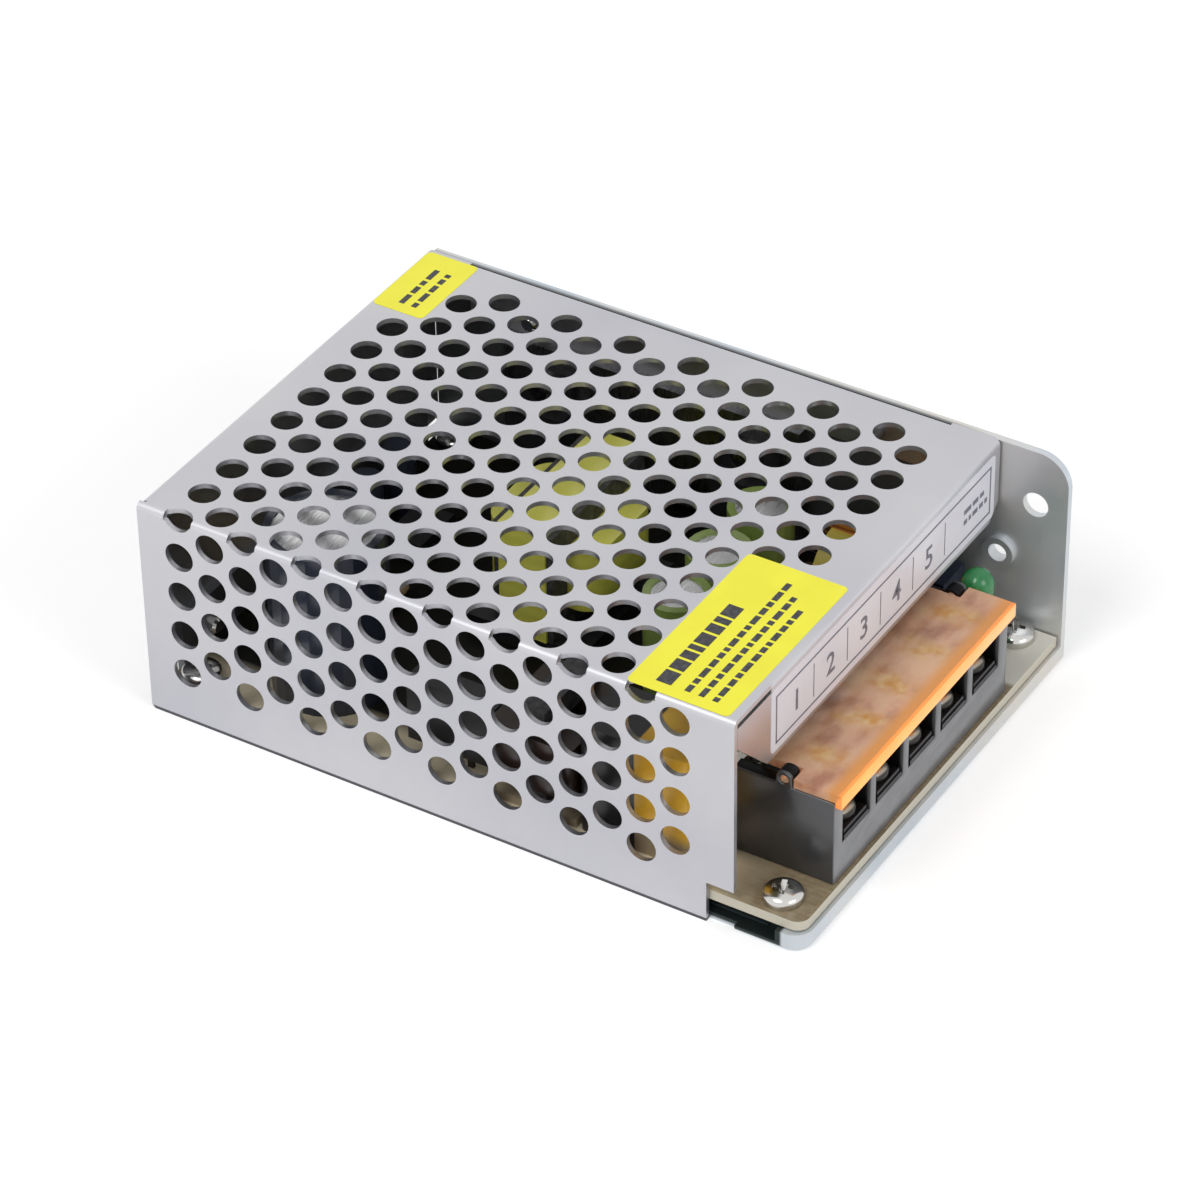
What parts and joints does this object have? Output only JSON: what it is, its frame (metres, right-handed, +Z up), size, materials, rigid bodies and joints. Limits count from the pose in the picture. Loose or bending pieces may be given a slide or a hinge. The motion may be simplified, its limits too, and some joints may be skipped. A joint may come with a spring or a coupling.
{
  "type": "switching power supply",
  "caption": "Mesh case switching power supply: folded metal case with a perforated cover, a screw terminal block under a clear flip lid, and the converter board inside.",
  "frame": {"origin": "middle of the case's footprint, on the face it stands on", "axes": "+Z up, -Y towards the terminals, +X towards the solid side wall"},
  "size_m": [0.078, 0.11, 0.0371],
  "materials": {
    "zinc_steel": "bright zinc plate",
    "satin_cover": "satin sheet",
    "bright_screws": "nickel plate",
    "board_laminate": "tan laminate with a light cut edge",
    "black_film": "smooth film",
    "black_moulding": "moulded",
    "tinned_brass": "tinned",
    "amber_clear": "amber clear moulding",
    "green_lens": "tinted clear moulding",
    "blue_moulding": "moulded",
    "white_moulding": "moulded",
    "yellow_box": "moulded box",
    "ferrite": "ground ferrite",
    "yellow_ferrite": "powder coat",
    "copper_wire": "lacquered copper",
    "dark_sleeve": "shrunk sleeve",
    "green_sleeve": "shrunk sleeve",
    "bare_can": "bare",
    "yellow_tape": "film tape",
    "bar_aluminium": "extruded",
    "fuse_glass": "clear",
    "dark_disc": "dipped",
    "blue_disc": "dipped",
    "tan_body": "lacquer",
    "white_paper": "label stock",
    "yellow_paper": "label stock"
  },
  "bodies": {
    "case": {"board_screws": "bright_screws", "board_standoffs": "zinc_steel", "bridge_rectifier": "black_moulding", "bulk_capacitor": "dark_sleeve", "capacitor_tops": "bare_can", "chassis": "zinc_steel", "circuit_board": "board_laminate", "clamp_screws": "bright_screws", "control_chip": "black_moulding", "corner_label": "yellow_paper", "cover_screws": "bright_screws", "filter_capacitor": "yellow_box", "fuse_caps": "tinned_brass", "fuse_clips": "tinned_brass", "fuse_tube": "fuse_glass", "heat_bar": "bar_aluminium", "insulating_sheet": "black_film", "led": "green_lens", "led_leads": "tinned_brass", "line_choke_base": "black_moulding", "line_choke_core": "ferrite", "line_choke_windings": "copper_wire", "mesh_cover": "satin_cover", "optocoupler": "black_moulding", "output_capacitors": "green_sleeve", "output_choke_core": "yellow_ferrite", "output_choke_winding": "copper_wire", "output_diode": "black_moulding", "resistors": "tan_body", "safety_capacitors": "blue_disc", "small_capacitors": "dark_sleeve", "strip_label": "white_paper", "switching_transistor": "black_moulding", "terminal_housing": "black_moulding", "terminal_plates": "tinned_brass", "thermistor": "dark_disc", "top_label": "yellow_paper", "transformer_base": "black_moulding", "transformer_core": "ferrite", "transformer_tape": "yellow_tape", "transformer_winding": "yellow_tape", "trimmer_body": "blue_moulding"},
    "lid": {"terminal_lid": "amber_clear"},
    "trimmer": {"trimmer_rotor": "white_moulding"},
    "clamp_1": {"clamp_washer_1": "bright_screws", "terminal_screw_1": "bright_screws"},
    "clamp_2": {"clamp_washer_2": "bright_screws", "terminal_screw_2": "bright_screws"},
    "clamp_3": {"clamp_washer_3": "bright_screws", "terminal_screw_3": "bright_screws"},
    "clamp_4": {"clamp_washer_4": "bright_screws", "terminal_screw_4": "bright_screws"},
    "clamp_5": {"clamp_washer_5": "bright_screws", "terminal_screw_5": "bright_screws"}
  },
  "joints": [
    {"name": "lid_hinge", "type": "hinge", "parent": "case", "child": "lid", "pos_m": [-0.003, -0.0457, 0.02055], "axis": [-1, 0, 0], "range_deg": [0, 90]},
    {"name": "trimmer_turn", "type": "hinge", "parent": "case", "child": "trimmer", "pos_m": [0.0328, -0.0395, 0.0095], "axis": [0, 1, 0], "range_deg": [-130, 130]},
    {"name": "screw_lift_1", "type": "slide", "parent": "case", "child": "clamp_1", "axis": [0, 0, 1], "range_m": [0, 0.003]},
    {"name": "screw_lift_2", "type": "slide", "parent": "case", "child": "clamp_2", "axis": [0, 0, 1], "range_m": [0, 0.003]},
    {"name": "screw_lift_3", "type": "slide", "parent": "case", "child": "clamp_3", "axis": [0, 0, 1], "range_m": [0, 0.003]},
    {"name": "screw_lift_4", "type": "slide", "parent": "case", "child": "clamp_4", "axis": [0, 0, 1], "range_m": [0, 0.003]},
    {"name": "screw_lift_5", "type": "slide", "parent": "case", "child": "clamp_5", "axis": [0, 0, 1], "range_m": [0, 0.003]}
  ]
}
